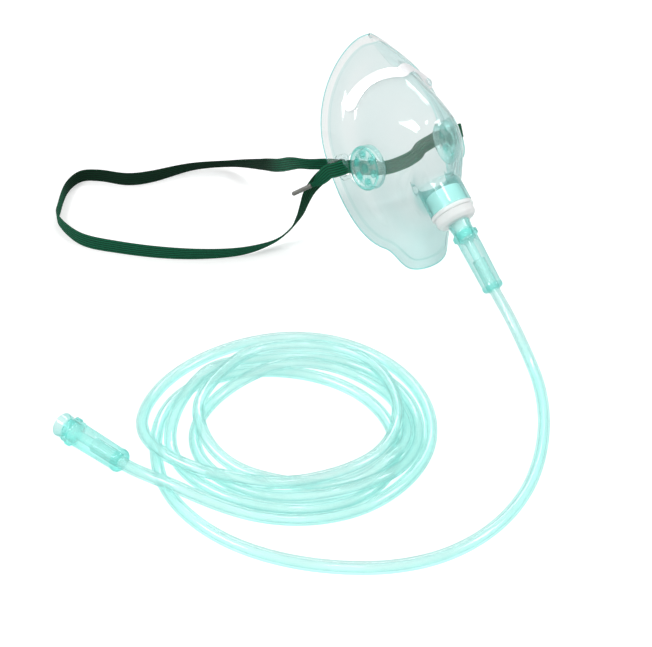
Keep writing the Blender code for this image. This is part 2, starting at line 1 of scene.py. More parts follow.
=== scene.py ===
# Oxygen face mask: clear shell with nose clip and vents, swivel inlet, head strap, supply tubing.
# Pieces are modelled in millimetres in their own frames; settle() moves each to its place in metres.

from math import atan2, cos, exp, hypot, pi, radians, sin, sqrt, tanh

import bmesh
import bpy
from mathutils import Euler, Matrix, Vector
from mathutils.kdtree import KDTree


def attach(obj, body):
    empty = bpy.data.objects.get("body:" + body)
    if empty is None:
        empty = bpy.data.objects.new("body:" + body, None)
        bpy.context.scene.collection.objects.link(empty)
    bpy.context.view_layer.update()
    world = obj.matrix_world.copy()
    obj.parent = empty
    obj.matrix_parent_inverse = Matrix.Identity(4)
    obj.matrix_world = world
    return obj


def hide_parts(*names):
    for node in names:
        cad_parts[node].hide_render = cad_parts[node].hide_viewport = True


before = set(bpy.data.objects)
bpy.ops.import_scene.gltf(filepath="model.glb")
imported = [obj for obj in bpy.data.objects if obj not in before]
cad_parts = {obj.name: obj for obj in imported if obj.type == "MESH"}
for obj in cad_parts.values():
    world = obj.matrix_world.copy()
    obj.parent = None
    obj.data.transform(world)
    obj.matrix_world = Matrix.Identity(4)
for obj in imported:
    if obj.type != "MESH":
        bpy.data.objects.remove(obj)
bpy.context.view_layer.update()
bpy.ops.object.select_all(action="DESELECT")

mm = 0.001
view = {
    "place": (0.031, -0.587, 0.400),
    "lookDown": 38.0,  # degrees below the horizon
    "focalPixels": 1300.0,
    "pixelsWide": 652.0,
    "sensor": 36.0,
}


def addCamera():
    lean = (radians(90 - view["lookDown"]), 0, 0)
    bpy.ops.object.camera_add(location=view["place"], rotation=lean)
    eye = bpy.context.object
    eye.data.sensor_width = view["sensor"]
    eye.data.lens = view["sensor"] * view["focalPixels"] / view["pixelsWide"]
    bpy.context.scene.camera = eye


addCamera()
print("camera set")


# Shared steps

def pick(obj):
    bpy.ops.object.select_all(action="DESELECT")
    obj.select_set(True)
    bpy.context.view_layer.objects.active = obj


def applyModifier(obj, kind, **values):
    pick(obj)
    made = obj.modifiers.new(kind.lower(), kind)
    for name, value in values.items():
        setattr(made, name, value)
    bpy.ops.object.modifier_apply(modifier=made.name)


def loft(name, rings, ends="open"):
    # a circle is added and extruded once for each further ring, and each ring is moved to its points;
    # ends is open, capped, or joined, where the last ring closes onto the first
    bpy.ops.object.select_all(action="DESELECT")
    bpy.ops.mesh.primitive_circle_add(vertices=len(rings[0]), radius=1)
    obj = bpy.context.object
    obj.name = name
    obj.data.name = name
    bpy.ops.object.mode_set(mode="EDIT")
    edit = bmesh.from_edit_mesh(obj.data)
    edit.verts.ensure_lookup_table()
    order = {tuple(v.co): i for i, v in enumerate(edit.verts)}
    for step, ring in enumerate(rings):
        if step:
            bpy.ops.mesh.extrude_region_move()
            edit = bmesh.from_edit_mesh(obj.data)
        moved = {}
        for v in edit.verts:
            if v.select:
                i = order[tuple(v.co)]
                v.co = ring[i]
                moved[tuple(v.co)] = i
        order = moved
    bmesh.update_edit_mesh(obj.data)
    if ends != "open":
        bpy.ops.mesh.select_all(action="DESELECT")
        bpy.ops.mesh.select_non_manifold()
        if ends == "joined":
            bpy.ops.mesh.bridge_edge_loops()
        else:
            bpy.ops.mesh.edge_face_add()
    bpy.ops.mesh.select_all(action="SELECT")
    bpy.ops.mesh.normals_make_consistent(inside=False)
    bpy.ops.object.mode_set(mode="OBJECT")
    return obj


def circleAt(radius, height, steps):
    turns = [2 * pi * i / steps for i in range(steps)]
    return [Vector((radius * cos(a), radius * sin(a), height)) for a in turns]


def turned(name, outline, steps=64, ends="joined"):
    return loft(name, [circleAt(radius, height, steps) for radius, height in outline], ends)


def softened(outline, reach, steps=3):
    # rounds each corner of a closed outline of (radius, height); an open outline's two ends are
    # rounded towards each other, and its caller cuts those points off
    count = len(outline)
    out = []
    for i, corner in enumerate(outline):
        here = Vector(corner)
        back = Vector(outline[i - 1]) - here
        ahead = Vector(outline[(i + 1) % count]) - here
        cut = min(reach, back.length * 0.45, ahead.length * 0.45)
        start = here + back.normalized() * cut
        end = here + ahead.normalized() * cut
        for k in range(steps + 1):
            t = k / steps
            out.append(tuple(start * (1 - t) ** 2 + here * 2 * t * (1 - t) + end * t**2))
    return out


def cutWith(obj, tool, operation):
    applyModifier(obj, "BOOLEAN", operation=operation, solver="EXACT", object=tool)
    bpy.data.objects.remove(tool)


def laid(obj, place):
    obj.data.transform(place)
    return obj


def copied(obj, name):
    pick(obj)
    bpy.ops.object.duplicate()
    made = bpy.context.object
    made.name = name
    return made


def settle(obj, place, look, body, slot, *nodes, angle=35):
    # the finished piece: its place goes into its mesh, it gets its material and rides on its body
    obj.data.transform(Matrix.Scale(mm, 4) @ place)
    obj.data.materials.clear()
    obj.data.materials.append(look)
    pick(obj)
    bpy.ops.object.shade_smooth_by_angle(angle=radians(angle))
    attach(obj, body)
    if nodes:
        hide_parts(*nodes)


def along(direction, place, across=(0, 0, 1)):
    # a frame at place with Z along direction and Y as near as can be to across
    z = Vector(direction).normalized()
    y = Vector(across) - z * Vector(across).dot(z)
    y.normalize()
    x = y.cross(z)
    made = Matrix((x, y, z)).transposed().to_4x4()
    made.translation = Vector(place)
    return made


def curveThrough(points, every):
    # a smooth curve through the points, with one about every so many millimetres
    points = [Vector(p) for p in points]
    knots = [points[0] * 2 - points[1], *points, points[-1] * 2 - points[-2]]
    out = []
    for a, b, c, d in zip(knots, knots[1:], knots[2:], knots[3:]):
        steps = max(1, round((Vector(c[0:3]) - Vector(b[0:3])).length / every))
        for i in range(steps):
            out.append(between(a, b, c, d, i / steps))
    return out + [points[-1]]


def between(a, b, c, d, t):
    return 0.5 * (2 * b + (c - a) * t + (2 * a - 5 * b + 4 * c - d) * t**2 + (3 * b - a - 3 * c + d) * t**3)


# Materials

def fill(tree, made, values):
    # each value goes to the input of that name or number: a link where it is another node's output
    for name, value in values.items():
        socket = made.inputs[name]
        if isinstance(value, bpy.types.NodeSocket):
            tree.links.new(value, socket)
        else:
            socket.default_value = (*value, 1) if socket.type == "RGBA" else value


def node(tree, kind, values=None, **settings):
    made = tree.nodes.new("ShaderNode" + kind)
    for name, value in settings.items():
        setattr(made, name, value)
    fill(tree, made, values or {})
    return made


def maths(tree, operation, *values):
    return node(tree, "Math", dict(enumerate(values)), operation=operation).outputs[0]


def noise(tree, place, scale, detail):
    return node(tree, "TexNoise", {"Vector": place, "Scale": scale, "Detail": detail}).outputs["Fac"]


def blended(tree, share, first, second, how="MIX"):
    return node(tree, "Mix", {0: share, 6: first, 7: second}, data_type="RGBA", blend_type=how).outputs[2]


def deepened(tree, share, shade, colour):
    return blended(tree, share, shade, colour, "MULTIPLY")


def rising(tree, value, low, high):
    # 0 at low, 1 at high and smooth in between
    values = {"Value": value, "From Min": low, "From Max": high}
    return node(tree, "MapRange", values, interpolation_type="SMOOTHSTEP").outputs["Result"]


def onMap(tree, name):
    # the first number on the piece's own map of that name
    place = node(tree, "UVMap", uv_map=name).outputs["UV"]
    return node(tree, "SeparateXYZ", {"Vector": place}).outputs["X"]


def addBump(tree, shader, height, strength, depth):
    bump = node(tree, "Bump", {"Height": height, "Strength": strength, "Distance": depth})
    fill(tree, shader, {"Normal": bump.outputs["Normal"]})


def startMaterial(name):
    made = bpy.data.materials.new(name)
    made.use_nodes = True
    return made, made.node_tree, made.node_tree.nodes["Principled BSDF"]


moulded = {"patchDetail": 3.0, "haze": 220.0, "hazeDetail": 4.0, "rippleDepth": 0.002}


def mouldedGroup():
    # slow colour drift, cloudy roughness and the faint ripple of moulded soft plastic
    group = bpy.data.node_groups.new("moulded surface", "ShaderNodeTree")
    sockets = {
        "INPUT": {"Colour": "Color", "Drift colour": "Color", "Patch scale": "Float",
                  "Roughness": "Float", "Roughness spread": "Float"},
        "OUTPUT": {"Colour": "Color", "Roughness": "Float", "Ripple": "Float"},
    }
    for side, kinds in sockets.items():
        for name, kind in kinds.items():
            group.interface.new_socket(name=name, in_out=side, socket_type="NodeSocket" + kind)
    given = group.nodes.new("NodeGroupInput").outputs
    place = node(group, "TexCoord").outputs["Object"]
    patches = noise(group, place, given["Patch scale"], moulded["patchDetail"])
    haze = noise(group, place, moulded["haze"], moulded["hazeDetail"])
    fill(group, group.nodes.new("NodeGroupOutput"), {
        "Colour": blended(group, patches, given["Colour"], given["Drift colour"]),
        "Roughness": maths(group, "MULTIPLY_ADD", haze, given["Roughness spread"], given["Roughness"]),
        "Ripple": patches,
    })
    return group


mouldedSurface = mouldedGroup()


def placeSurface(tree, shader, look):
    # the moulded surface's roughness and ripple go to the shader, and its colour is handed back
    surface = node(tree, "Group", {
        "Colour": look["colour"], "Drift colour": look["drift"], "Patch scale": look["patches"],
        "Roughness": look["roughness"], "Roughness spread": look["spread"],
    }, node_tree=mouldedSurface).outputs
    fill(tree, shader, {"Roughness": surface["Roughness"]})
    addBump(tree, shader, surface["Ripple"], look["ripple"], moulded["rippleDepth"])
    return surface["Colour"]


# The shell's three colourings by place, in metres: a deeper tint on the neck, painted shade on the chin, and
# the rim's lines with a painted highlight. The neck's starts at the neck's root, points down it, and ends
# between these two distances aside of its axis.
neckTint = {
    "start": (0.0880, -0.0291, 0.0515), "axis": (0.43607, -0.70296, -0.56186), "fade": 0.006,
    "aside": (0.0150, 0.0122),
}
# The chin's painted shade is measured from the shell's middle towards its nose, and deepens between these
# two points.
paintedChinShade = {
    "start": (0.0675, 0.003, 0.0586), "axis": (-0.2496, 0.4304, 0.8674), "reach": (0.025, -0.050),
}
# The rim's is in millimetres from the rim: a deeper line at the outer edge, painted shade along the fold
# where the flange meets the wall, and a painted highlight on the flange.
# Only the flange's painted highlight goes by the same way towards the nose as the chin's painted shade.
rimTintShadeAndHighlight = {
    "edge": (1.3, 0.4), "fold": 5.6, "foldShadeLine": (0.7, 0.15), "flange": (5.9, 5.3),
    "flangeHighlightFrom": (-0.035, 0.010),
}


def reachAlong(tree, start, axis):
    # how far a point lies from the start, as a vector and as a distance along the axis
    place = node(tree, "TexCoord").outputs["Object"]
    reach = node(tree, "VectorMath", {0: place, 1: start}, operation="SUBTRACT").outputs["Vector"]
    return reach, node(tree, "VectorMath", {0: reach, 1: axis}, operation="DOT_PRODUCT").outputs["Value"]


def neckShade(tree, look, shade):
    reach, distance = reachAlong(tree, neckTint["start"], neckTint["axis"])
    onNeck = rising(tree, distance, -neckTint["fade"], neckTint["fade"])
    across = node(tree, "VectorMath", {0: reach, 1: neckTint["axis"]}, operation="CROSS_PRODUCT")
    aside = node(tree, "VectorMath", {0: across.outputs["Vector"]}, operation="LENGTH").outputs["Value"]
    within = rising(tree, aside, *neckTint["aside"])
    return deepened(tree, maths(tree, "MULTIPLY", onNeck, within), shade, look["neckColour"])


def paintedChinShadeAndRimLight(tree, look, shade):
    # painted shade deepens the chin, and a painted highlight pales the flange between two deeper lines:
    # painted shade along the fold, and a deeper line at the rim's edge
    towardsNose = reachAlong(tree, paintedChinShade["start"], paintedChinShade["axis"])[1]
    # painted shade: the shell darker towards the chin
    shade = deepened(tree, rising(tree, towardsNose, *paintedChinShade["reach"]), shade, look["paintedChinShadeColour"])
    inwards = onMap(tree, "rim")
    # painted highlight: the flange is paler on its upper side, towards the nose
    onFlange = rising(tree, inwards, *rimTintShadeAndHighlight["flange"])
    upper = rising(tree, towardsNose, *rimTintShadeAndHighlight["flangeHighlightFrom"])
    shade = blended(tree, maths(tree, "MULTIPLY", onFlange, upper), shade, look["flangeHighlightColour"])
    # painted shade along the fold where the flange meets the wall
    fromFold = maths(tree, "ABSOLUTE", maths(tree, "SUBTRACT", inwards, rimTintShadeAndHighlight["fold"]))
    shade = deepened(tree, rising(tree, fromFold, *rimTintShadeAndHighlight["foldShadeLine"]), shade, look["foldShadeColour"])
    return deepened(tree, rising(tree, inwards, *rimTintShadeAndHighlight["edge"]), shade, look["rimColour"])


def addPlastic(tree, shader, shade, look):
    fill(tree, shader, {
        "Base Color": shade, "Transmission Weight": look["clear"], "IOR": look["bend"],
        "Coat Weight": look["gloss"], "Coat Roughness": look["coat"],
    })


def clearMaterial(name, look):
    # clear soft plastic: pale where seen face on, deeper at grazing edges, with a light tinted shadow
    made, tree, shader = startMaterial(name)
    shade = placeSurface(tree, shader, look)
    facing = node(tree, "LayerWeight", {"Blend": look["edgeBlend"]}).outputs["Facing"]
    shade = blended(tree, facing, shade, look["edgeColour"])
    # on the shell alone: the neck's deeper tint, painted shade on the chin and along the rim's fold, a
    # painted highlight on the flange, and a deeper line at the rim's edge
    if "neckColour" in look:
        shade = paintedChinShadeAndRimLight(tree, look, neckShade(tree, look, shade))
    if "deepColour" in look:
        shade = deepened(tree, onMap(tree, "thick"), shade, look["deepColour"])
    addPlastic(tree, shader, shade, look)
    shadow = node(tree, "LightPath").outputs["Is Shadow Ray"]
    passing = node(tree, "BsdfTransparent", {"Color": look["shadow"]}).outputs[0]
    both = node(tree, "MixShader", {0: shadow, 1: shader.outputs[0], 2: passing}).outputs[0]
    fill(tree, tree.nodes["Material Output"], {"Surface": both})
    return made


shellLook = {
    "colour": (0.82, 0.91, 0.905), "drift": (0.93, 0.97, 0.965), "edgeColour": (0.20, 0.62, 0.60),
    "edgeBlend": 0.22, "patches": 25.0, "roughness": 0.04, "spread": 0.04, "ripple": 0.06,
    "clear": 0.96, "bend": 1.03, "gloss": 1.0, "coat": 0.06, "shadow": (0.93, 0.97, 0.97),
    # the neck's colour is its deeper tint; the chin's colour is painted shade
    "neckColour": (0.74, 0.98, 0.96), "paintedChinShadeColour": (0.78, 0.84, 0.835),
    # the flange's colour is a painted highlight and the fold's is painted shade; the rim's is a deeper edge
    # line
    "flangeHighlightColour": (0.96, 0.985, 0.98), "foldShadeColour": (0.66, 0.86, 0.85), "rimColour": (0.35, 0.80, 0.78),
}
tubeLook = {
    "colour": (0.75, 0.895, 0.88), "drift": (0.80, 0.915, 0.90), "edgeColour": (0.37, 0.78, 0.745),
    "edgeBlend": 0.40, "patches": 40.0, "roughness": 0.08, "spread": 0.05, "ripple": 0.03,
    "clear": 0.85, "bend": 1.05, "gloss": 0.8, "coat": 0.12, "shadow": (0.90, 0.97, 0.96),
}
fittingLook = {
    "colour": (0.68, 0.90, 0.88), "drift": (0.74, 0.92, 0.90), "edgeColour": (0.10, 0.66, 0.61),
    "edgeBlend": 0.42, "patches": 60.0, "roughness": 0.05, "spread": 0.05, "ripple": 0.03,
    "clear": 0.84, "bend": 1.06, "gloss": 1.0, "coat": 0.06, "shadow": (0.90, 0.97, 0.96),
    "deepColour": (0.52, 0.92, 0.89),
}
ventLook = {
    "colour": (0.80, 0.90, 0.89), "drift": (0.84, 0.92, 0.91), "edgeColour": (0.06, 0.62, 0.56),
    "edgeBlend": 0.26, "patches": 60.0, "roughness": 0.04, "spread": 0.04, "ripple": 0.03,
    "clear": 0.80, "bend": 1.05, "gloss": 1.0, "coat": 0.06, "shadow": (0.93, 0.97, 0.97),
    "deepColour": (0.30, 0.82, 0.76),
}
whiteLook = {
    "colour": (0.96, 0.98, 0.975), "drift": (0.99, 1.0, 0.995), "patches": 80.0, "roughness": 0.25,
    "spread": 0.1, "ripple": 0.05, "clear": 0.30, "bend": 1.15, "gloss": 0.6, "coat": 0.12,
}


def whiteMaterial(look):
    made, tree, shader = startMaterial("milky white plastic")
    addPlastic(tree, shader, placeSurface(tree, shader, look), look)
    return made


metalLook = {
    "lines": 60.0, "detail": 6.0, "smoothest": -0.1, "roughest": 0.12, "darker": 0.86, "bump": 0.15,
    "depth": 0.0003,
}


def metalMaterial(name, colour, roughness, stretch):
    # rolled metal: fine lines along the piece break up its gloss
    made, tree, shader = startMaterial(name)
    place = node(tree, "TexCoord").outputs["Object"]
    stretched = node(tree, "Mapping", {"Vector": place, "Scale": stretch}).outputs["Vector"]
    lines = noise(tree, stretched, metalLook["lines"], metalLook["detail"])
    shine = node(tree, "MapRange", {
        "Value": lines, "To Min": roughness + metalLook["smoothest"],
        "To Max": roughness + metalLook["roughest"],
    })
    darker = tuple(c * metalLook["darker"] for c in colour)
    fill(tree, shader, {
        "Base Color": blended(tree, lines, darker, colour), "Roughness": shine.outputs["Result"],
        "Metallic": 1.0,
    })
    addBump(tree, shader, lines, metalLook["bump"], metalLook["depth"])
    return made


clearShell = clearMaterial("clear soft shell", shellLook)
clearTube = clearMaterial("clear green tubing", tubeLook)
clearFitting = clearMaterial("clear green fitting", fittingLook)
clearVent = clearMaterial("clear vent", ventLook)
whitePlastic = whiteMaterial(whiteLook)
bareAluminium = metalMaterial("bare aluminium", (0.92, 0.93, 0.94), 0.38, (1, 14, 14))
crimpedTin = metalMaterial("crimped tin", (0.19, 0.195, 0.18), 0.48, (8, 8, 1))
print("plastics and metals made")


# Supply tubing: one hollow tube from the mask's connector, over the floor and through five turns

supply = {
    "radius": 2.8, "wall": 1.05, "roundness": 7, "pointEvery": 2.5,
    "start": (106.79, -59.34, 27.35), "exit": (114.07, -71.08, 17.97), "end": (-70.0, -170.52, 6.7),
    # where a point has no height, the tubing lies on the floor
    "lead": [
        (120.9, -82.9, 10.2), (125.6, -95.3, 5.2), (128.8, -109, 3), (130.5, -123.1), (130.7, -137.4),
        (129.5, -151.5), (126.9, -165.5), (122.9, -179.2), (117.4, -192.3), (110, -204.5),
        (100.8, -215.3), (89.8, -224.4), (77.4, -231.3), (63.8, -235.6), (49.7, -237.4), (35.5, -237),
        (21.4, -234.9), (7.7, -231), (-5.3, -225.2), (-17.1, -217.4), (-27.4, -207.6),
    ],
    "coil": [
        (-34.8, -197.5), (-40.2, -186.2), (-43.4, -174.1), (-44.7, -161.7), (-43.8, -149.3),
        (-39.7, -137.5), (-32.2, -127.6), (-21.8, -120.7), (-9.9, -116.7), (2.5, -115.2),
        (14.9, -116.3), (26.9, -119.7), (38, -125.4), (47.7, -133.3), (55.2, -143.2), (60.1, -154.7),
        (61.8, -167.1), (59.9, -179.4), (53.9, -190.3), (44.7, -198.6), (33.2, -203.4), (20.8, -205.2),
        (8.3, -204.2), (-3.7, -200.9), (-15, -195.6), (-25, -188.1), (-32.9, -178.4),
        (-37.6, -166.9, 3.1), (-38.4, -154.5, 4.3), (-35.7, -142.4, 6.1), (-30.6, -131.1, 7.7),
        (-23.6, -120.8, 8.3), (-14.5, -112.7, 5.9), (-3.4, -107.6, 3.5), (8.8, -104.8), (21.3, -104.3),
        (33.6, -106.3), (45.2, -110.9), (55.5, -118), (63.8, -127.3), (69.6, -138.3), (72.4, -150.5),
        (71.8, -162.9, 3.3), (68.1, -174.8, 4.8), (61.8, -185.3, 6.9), (52.4, -193.3, 8.3),
        (40.9, -198.1, 7.9), (28.7, -200.1, 6.5), (16.3, -199.7, 4.6), (4.2, -197, 3.1), (-7.2, -192),
        (-17, -184.2), (-24.1, -174), (-27.5, -162), (-26.4, -149.6), (-21.4, -138.2, 3.1),
        (-13.2, -128.9, 4.5), (-3, -122, 6.4), (8.4, -117.2, 8.1), (20.6, -114.5, 7.7),
        (32.9, -114.8, 5.6), (44.6, -118.7, 3.7), (54.6, -126), (62.1, -135.9), (66.3, -147.6, 3.4),
        (67.1, -159.9, 5.5), (64.2, -171.8, 7.8), (56.9, -181.8, 8), (46.9, -188.6, 5.2),
        (34.9, -191.2, 3.1), (22.4, -190.7), (10.2, -188.2), (-1.6, -183.9), (-12.1, -177.3, 3.6),
        (-20.3, -168.1, 5.5), (-25.3, -156.9, 7.8), (-26.4, -144.6, 8.6), (-22.8, -132.7, 8.9),
        (-16.4, -122, 9.4), (-8.5, -112.2, 9.7), (1.3, -104.8, 8.7), (13.3, -101.3, 7.6),
        (25.7, -101.2, 7.3), (37.7, -104.5, 7.7), (48.2, -111.3, 8.3), (55.9, -121.1, 8.4),
        (61, -132.5, 8.4), (63.3, -144.7, 8.3), (62.5, -157.2, 8.3), (58.6, -169, 8.1),
        (51.3, -179.1, 8.1), (41.3, -186.6, 8.4), (29.8, -191.6, 8.4), (17.6, -194.2, 8),
        (5.2, -194.3, 8), (-7.2, -192.2, 8.4), (-19.2, -188.7, 8.2), (-30.5, -183.5, 8.4),
        (-40.6, -176.1, 8.4), (-48.1, -166.3, 7.4), (-51.6, -154.5, 5.2), (-51.3, -142.2, 3.6),
        (-47.7, -130.3), (-41.4, -119.5), (-33.1, -110.2), (-23.3, -102.4), (-12.4, -96.2),
        (-0.7, -91.9), (11.6, -89.7), (24.1, -90.2), (36.2, -93.3), (47.4, -98.8), (57.4, -106.3),
        (65.8, -115.5), (72.3, -126.2), (76.6, -137.9), (78.4, -150.2), (77.6, -162.7), (74, -174.6),
        (67.8, -185.5), (59.6, -194.9), (49.7, -202.6), (38.4, -207.8), (26.2, -210.5), (13.7, -210.7),
        (1.3, -209.1, 3.4), (-10.7, -206.1, 4.9), (-22.4, -201.8, 6.7), (-33.6, -196.6, 8.2),
        (-44.4, -190.4, 7.7), (-54.6, -183.2, 6.6),
    ],
}


def makeTubing():
    lying = [(*p, supply["radius"])[:3] for p in supply["lead"] + supply["coil"]]
    route = curveThrough([supply["start"], supply["exit"], *lying, supply["end"]], supply["pointEvery"])
    route = [Vector((p.x, p.y, max(p.z, supply["radius"]))) for p in route]
    line = bpy.data.curves.new("supply_tubing", "CURVE")
    line.dimensions = "3D"
    line.bevel_depth = supply["radius"]
    line.bevel_resolution = supply["roundness"]
    spline = line.splines.new("POLY")
    spline.points.add(len(route) - 1)
    for point, place in zip(spline.points, route):
        point.co = (*place, 1)
    tube = bpy.data.objects.new("supplyTubing", line)
    bpy.context.collection.objects.link(tube)
    pick(tube)
    bpy.ops.object.convert(target="MESH")
    tube = bpy.context.object
    bpy.ops.object.mode_set(mode="EDIT")
    bpy.ops.mesh.select_all(action="SELECT")
    bpy.ops.mesh.remove_doubles(threshold=0.01)
    bpy.ops.mesh.normals_make_consistent(inside=False)
    bpy.ops.object.mode_set(mode="OBJECT")
    applyModifier(tube, "SOLIDIFY", thickness=supply["wall"], offset=-1.0, use_rim=True)
    settle(tube, Matrix.Identity(4), clearTube, "mask", "clear_tube", "tube_lead", "tube_coil", "tube_tail",
           angle=40)
    route = [p * mm for p in route]
    return tube, route, sum((b - a).length for a, b in zip(route, route[1:]))


tubing, tubingRoute, tubingLength = makeTubing()
print("tubing laid, metres long:", round(tubingLength, 3))


# The mask's own frame: X to the right cheek, Y forward, Z from chin to nose

maskLie = {"middle": (67.5, 3.0, 58.6), "turned": (29.8, -1.6, -147.1)}  # millimetres and degrees
leaning = Euler([radians(a) for a in maskLie["turned"]]).to_matrix().to_4x4()
maskPlace = Matrix.Translation(maskLie["middle"]) @ leaning

# Each row is one closed outline between the rim and the neck: nose (forward, up), chin (forward, up),
# half width, widest share, set back of the sides, point, fullness of the chin half, chin lobe
shellShape = {
    "sections": [
        (0.0, 57.0, 3.0, -55.0, 36.5, 0.53, 13.0, 1.45, 0.50, 12.8),
        (4.0, 49.5, 7.0, -50.0, 32.5, 0.53, 4.0, 1.30, 0.55, 8.0),
        (10.0, 44.0, 12.0, -48.5, 27.0, 0.52, 4.0, 1.30, 0.60, 3.0),
        (20.0, 33.5, 18.0, -45.0, 24.0, 0.50, 1.0, 1.20, 0.75, 1.0),
        (32.5, 22.0, 22.0, -39.0, 20.5, 0.48, 0.0, 1.10, 0.90, 0.0),
        (45.5, 7.0, 22.0, -32.0, 15.5, 0.48, 0.0, 1.00, 1.00, 0.0),
    ],
    "wall": 1.4, "edgeRound": 0.45, "around": 128, "between": 6,
    "noseFlat": 2.3, "noseTip": 0.07,  # how much wider the nose end is made, and how sharp its tip is
    "lobeHalfWidth": 17.5, "lobeRound": 0.33,
    "neckRadius": 11.3, "neckRoot": (27.8, -21.5), "neckLength": 17.0, "neckFoot": 4.0, "neckDrop": 64.0,
    "eased": (4.3, 6.4), "easing": 8,  # the sections where the neck's root is smoothed, and how often
}


def neckAxis():
    drop = radians(shellShape["neckDrop"])
    return Vector((0, cos(drop), -sin(drop)))


def neckSection(distance):
    y, z = Vector(shellShape["neckRoot"]) + distance * neckAxis().yz
    radius = shellShape["neckRadius"]
    across = Vector((-neckAxis().z, neckAxis().y)) * radius
    return (y + across.x, z + across.y, y - across.x, z - across.y, radius, 0.5, 0.0, 1.0, 1.0, 0.0)


sections = [Vector(row) for row in [
    *shellShape["sections"], neckSection(0), neckSection(shellShape["neckFoot"]),
    neckSection(shellShape["neckLength"]),
]]
lastSection = len(sections) - 1


def skin(turn, depth):
    # a point on the shell's outer face: turn goes once round from the nose, depth counts sections
    i = min(int(depth), lastSection - 1)
    around = [sections[max(i - 1, 0)], sections[i], sections[i + 1], sections[min(i + 2, lastSection)]]
    shape = between(*around, depth - i)
    nose = Vector(shape[0:2])
    chin = Vector(shape[2:4])
    halfWidth, widest, setBack, point, fullness, lobe = shape[4:10]
    angle = 2 * pi * turn
    if cos(angle) < 0:
        # the chin half's points are spread so that its corners get enough of them
        share = abs(pi - angle % (2 * pi)) / (pi / 2)
        angle = pi - (1 if sin(angle) > 0 else -1) * pi / 2 * share ** (2.2 - 1.2 * fullness)
    up = cos(angle)
    side = sin(angle)
    hand = 1 if side > 0 else -1
    middle = chin.lerp(nose, widest)
    if up < 0:
        centre = middle + (chin - middle) * -up
        x = halfWidth * abs(side) ** fullness * hand
        share = x / shellShape["lobeHalfWidth"]
        centre.y -= lobe * (1 - shellShape["lobeRound"] * share**2) * exp(-(share**8))
    else:
        centre = middle + (nose - middle) * up
        flat = shellShape["noseFlat"] * max(1 - depth / 2, 0) * (1 - abs(side))
        flat *= tanh(abs(side) / shellShape["noseTip"])
        x = (halfWidth * abs(side) ** point + flat) * hand
    return Vector((x, centre.x - setBack * abs(side) ** (0.6 if up > 0 else 1.0), centre.y))


def skinFrame(turn, depth):
    # a frame on the shell's outer face: Z straight out, Y towards the nose side
    step = 0.01
    roundIt = skin(turn + step, depth) - skin(turn - step, depth)
    inward = skin(turn, min(depth + step, lastSection)) - skin(turn, max(depth - step, 0))
    return along(roundIt.cross(inward), skin(turn, depth))


def turnOn(turn, side):
    return turn if side > 0 else 1 - turn


vent = {
    "turn": 0.264, "depth": 2.2, "facing": 84.0, "lift": 0.06, "radius": 11.5, "wall": 1.4,
    "plate": 1.2, "proud": 1.2, "sunk": 3.0, "rim": 1.1, "hub": 2.4, "hubHeight": 0.5,
    "dimple": (0.7, 0.15),  # in the hub: radius and depth
    "hole": 1.15, "holeCircle": 6.9, "holes": 6, "holeSides": 32, "collar": 0.75, "collarHeight": 0.55,
    "window": (0.2, -9.0, 8.0),  # in the shell: wider than the drum's inside, from, to
}
ear = {
    "turn": 0.265, "depth": 0.74, "slot": (2.8, 9.3), "wall": 1.9, "thick": 3.2, "round": 2.3,
    "slotRound": 0.6,
}
clip = {
    "width": 6.8, "thick": 0.7, "gap": 0.6, "turn": 0.163, "endTurn": 0.0125, "every": 0.8,
    "depthMiddle": 3.0, "depthEnds": 1.55, "sweep": 1.3,  # how late it bends from middle to ends
    "stud": 1.4, "studSunk": 0.8, "head": 2.2, "headFlat": 1.4,
    "headHeights": (1.5, 2.0, 2.5),  # under the head, its brim, its top
}
nub = {"size": (1.6, 3.2, 1.4), "round": 0.3, "fromMouth": 9.0}


def ventFrame(side):
    facing = radians(vent["facing"])
    direction = (side * sin(facing), cos(facing), vent["lift"])
    return along(direction, skin(turnOn(vent["turn"], side), vent["depth"]))


def added(name):
    # the primitive that was just added, with its place and size in its mesh
    bpy.ops.object.transform_apply(location=True, rotation=True, scale=True)
    bpy.context.object.name = name
    return bpy.context.object


def rod(name, radius, low, high, steps=48):
    # a cylinder between two heights
    bpy.ops.object.select_all(action="DESELECT")
    bpy.ops.mesh.primitive_cylinder_add(vertices=steps, radius=radius, depth=high - low,
                                        location=(0, 0, (low + high) / 2))
    return added(name)


def slab(name, size, rounding):
    # a block with rounded upright corners
    bpy.ops.object.select_all(action="DESELECT")
    bpy.ops.mesh.primitive_cube_add(size=1, scale=size)
    made = added(name)
    bpy.ops.object.mode_set(mode="EDIT")
    bpy.ops.mesh.select_mode(type="EDGE")
    bpy.ops.mesh.select_all(action="DESELECT")
    edit = bmesh.from_edit_mesh(made.data)
    for edge in edit.edges:
        a, b = (v.co for v in edge.verts)
        if abs(a.z - b.z) > 0.5 * size[2]:
            edge.select_set(True)
    bmesh.update_edit_mesh(made.data)
    bpy.ops.mesh.bevel(offset=rounding, segments=8, affect="EDGES")
    bpy.ops.mesh.select_mode(type="VERT")
    bpy.ops.object.mode_set(mode="OBJECT")
    return made


def writeMap(piece, name, valueOf):
    # a map of the piece's own, with two numbers on each corner of its faces
    marks = piece.data.uv_layers.new(name=name)
    for face in piece.data.polygons:
        for corner, point in zip(face.loop_indices, face.vertices):
            marks.data[corner].uv = valueOf(face, point)


def mapRim(shell):
    # how far each corner is from the rim in millimetres
    steps = shellShape["around"] * 4
    rim = KDTree(steps)
    for i in range(steps):
        rim.insert(skin(i / steps, 0), i)
    rim.balance()
    inwards = [rim.find(v.co)[2] for v in shell.data.vertices]
    writeMap(shell, "rim", lambda face, point: (inwards[point], 0.5))


